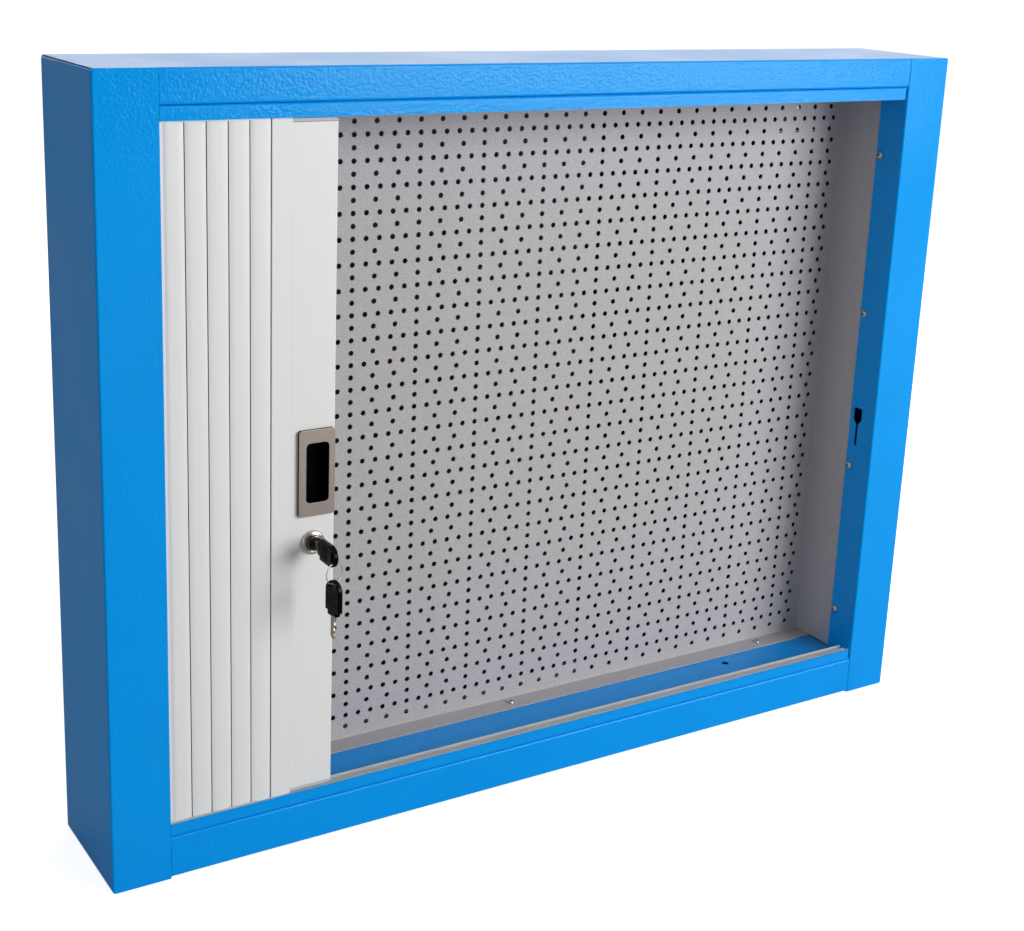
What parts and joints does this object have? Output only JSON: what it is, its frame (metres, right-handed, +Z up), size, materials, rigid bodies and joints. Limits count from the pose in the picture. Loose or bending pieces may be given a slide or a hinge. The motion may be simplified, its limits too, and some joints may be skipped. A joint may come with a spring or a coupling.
{
  "type": "roll front tool cabinet",
  "caption": "Wall-hung steel tool cabinet with a sideways roll front of upright slats, a perforated panel for tool hooks and a hook lock with its keys.",
  "frame": {"origin": "on the underside, in the middle of the width and of the whole depth with the keys in the lock", "axes": "+X to the right seen from the front, +Y towards the wall, +Z up"},
  "size_m": [1, 0.1958, 0.777],
  "materials": {
    "case_blue": "satin powder coat with a slight orange peel",
    "tray_grey": "fine-textured matt powder coat",
    "track_aluminium": "mill finish, extruded",
    "slat_white": "satin extruded plastic",
    "black_plastic": "satin moulded",
    "cap_grey": "satin moulded",
    "key_black": "glossy moulded",
    "pull_steel": "brushed along its length",
    "lock_nickel": "nickel plated, polished",
    "zinc": "bright zinc plated"
  },
  "bodies": {
    "cabinet": {"left_side_panel": "case_blue", "right_side_panel": "case_blue", "top_panel": "case_blue", "bottom_panel": "case_blue", "back_panel": "case_blue", "left_wall_plate": "zinc", "right_wall_plate": "zinc", "lower_deck": "case_blue", "upper_deck": "case_blue", "tool_tray": "tray_grey", "lower_front_track": "track_aluminium", "upper_front_track": "track_aluminium", "lower_corner_track": "track_aluminium", "upper_corner_track": "track_aluminium", "lower_rear_track": "track_aluminium", "upper_rear_track": "track_aluminium", "corner_slat_1": "slat_white", "corner_slat_2": "slat_white", "corner_slat_3": "slat_white", "corner_slat_4": "slat_white", "corner_slat_5": "slat_white", "corner_slat_6": "slat_white", "corner_slat_7": "slat_white", "corner_slat_8": "slat_white", "corner_slat_9": "slat_white", "stored_slats": "slat_white", "side_screw_1": "zinc", "side_screw_2": "zinc", "side_screw_3": "zinc", "side_screw_4": "zinc", "floor_screw_1": "zinc", "floor_screw_2": "zinc", "floor_screw_3": "zinc", "ceiling_screw_1": "zinc", "ceiling_screw_2": "zinc", "ceiling_screw_3": "zinc"},
    "shutter": {"slat_1": "slat_white", "slat_2": "slat_white", "slat_3": "slat_white", "slat_4": "slat_white", "slat_5": "slat_white", "lead_profile": "slat_white", "lower_end_cap": "cap_grey", "upper_end_cap": "cap_grey", "pull_plate": "pull_steel", "pull_cup": "black_plastic", "lock_housing": "lock_nickel", "lock_nut": "zinc"},
    "lock": {"lock_plug": "lock_nickel", "lock_hook": "zinc", "hook_screw": "zinc"},
    "key": {"key_bow": "key_black", "key_blade": "lock_nickel"},
    "ring": {"key_ring": "zinc"},
    "spare_key": {"spare_key_bow": "key_black", "spare_key_blade": "lock_nickel"}
  },
  "joints": [
    {"name": "shutter_slide", "type": "slide", "parent": "cabinet", "child": "shutter", "axis": [1, 0, 0], "range_m": [0, 0.7077]},
    {"name": "lock_turn", "type": "hinge", "parent": "shutter", "child": "lock", "pos_m": [-0.292, -0.03871, 0.3225], "axis": [0, 1, 0], "range_deg": [0, 90]},
    {"name": "key_pull", "type": "slide", "parent": "lock", "child": "key", "axis": [0, -1, 0], "range_m": [0, 0.03]},
    {"name": "ring_swing", "type": "hinge", "parent": "key", "child": "ring", "pos_m": [-0.292, -0.08681, 0.31808], "axis": [0.9397, 0.342, 0], "range_deg": [-45, 10]},
    {"name": "spare_key_swing", "type": "hinge", "parent": "ring", "child": "spare_key", "pos_m": [-0.292, -0.08681, 0.29708], "axis": [0.9397, 0.342, 0], "range_deg": [-45, 10]}
  ]
}
